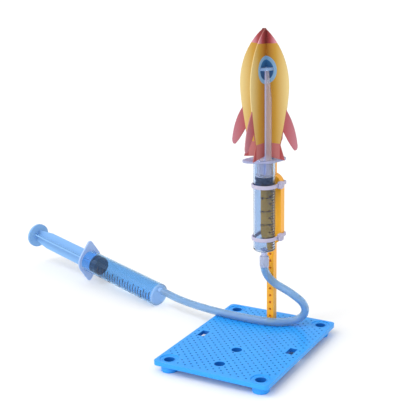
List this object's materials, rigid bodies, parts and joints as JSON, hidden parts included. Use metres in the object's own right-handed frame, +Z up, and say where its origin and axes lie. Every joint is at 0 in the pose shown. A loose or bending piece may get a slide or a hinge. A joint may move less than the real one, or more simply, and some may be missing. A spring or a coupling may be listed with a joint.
{
  "type": "hydraulic syringe lift kit",
  "caption": "Tabletop hydraulic lift: a hand syringe linked by clear tube to an upright syringe tied to a post on a perforated base, raising a card rocket.",
  "frame": {"origin": "centre of the four corner holes of the base plate, on the surface that the feet stand on", "axes": "+Z up along the post and the lift syringe, +X across the plate towards the side away from the hand syringe, +Y along the plate towards the post"},
  "size_m": [0.2861, 0.1493, 0.2086],
  "materials": {
    "blue_plastic": "moulded, satin gloss",
    "orange_plastic": "moulded, satin gloss",
    "nylon": "natural nylon, slightly translucent",
    "clear_barrel": "clear polypropylene",
    "plunger_plastic": "translucent polypropylene",
    "piston_rubber": "smooth moulded rubber",
    "printed_card": "printed and satin coated",
    "clear_tube": "soft clear vinyl"
  },
  "bodies": {
    "root": {"base_plate": "blue_plastic", "foot_front_left": "blue_plastic", "foot_front_right": "blue_plastic", "foot_rear_left": "blue_plastic", "foot_rear_right": "blue_plastic", "post": "orange_plastic", "post_pad": "orange_plastic", "tie_lower": "nylon", "tie_upper": "nylon", "lift_barrel": "clear_barrel", "hand_barrel": "clear_barrel", "tube": "clear_tube"},
    "lift_piston": {"lift_piston": "piston_rubber"},
    "rocket": {"lift_plunger": "plunger_plastic", "rocket_leaf_right": "printed_card", "rocket_leaf_rear": "printed_card", "rocket_leaf_left": "printed_card", "rocket_leaf_front": "printed_card"},
    "hand_piston": {"hand_piston": "piston_rubber"},
    "hand_rod": {"hand_plunger": "plunger_plastic"}
  },
  "joints": [
    {"name": "lift_slide", "type": "slide", "parent": "root", "child": "lift_piston", "axis": [0, 0, 1], "range_m": [0, 0.0115]},
    {"name": "rocket_spin", "type": "hinge", "parent": "lift_piston", "child": "rocket", "pos_m": [-0.0007, 0.0264, 0.12], "axis": [0, 0, 1], "continuous": true},
    {"name": "hand_slide", "type": "slide", "parent": "root", "child": "hand_piston", "axis": [0.9586, -0.2658, -0.1025], "range_m": [0, 0.00818]},
    {"name": "hand_spin", "type": "hinge", "parent": "hand_piston", "child": "hand_rod", "pos_m": [-0.16711, 0.064, 0.01609], "axis": [-0.9586, 0.2658, 0.1025], "continuous": true}
  ],
  "couplings": [
    {"joint": "hand_slide", "follows": "lift_slide", "ratio": 0.70975}
  ]
}
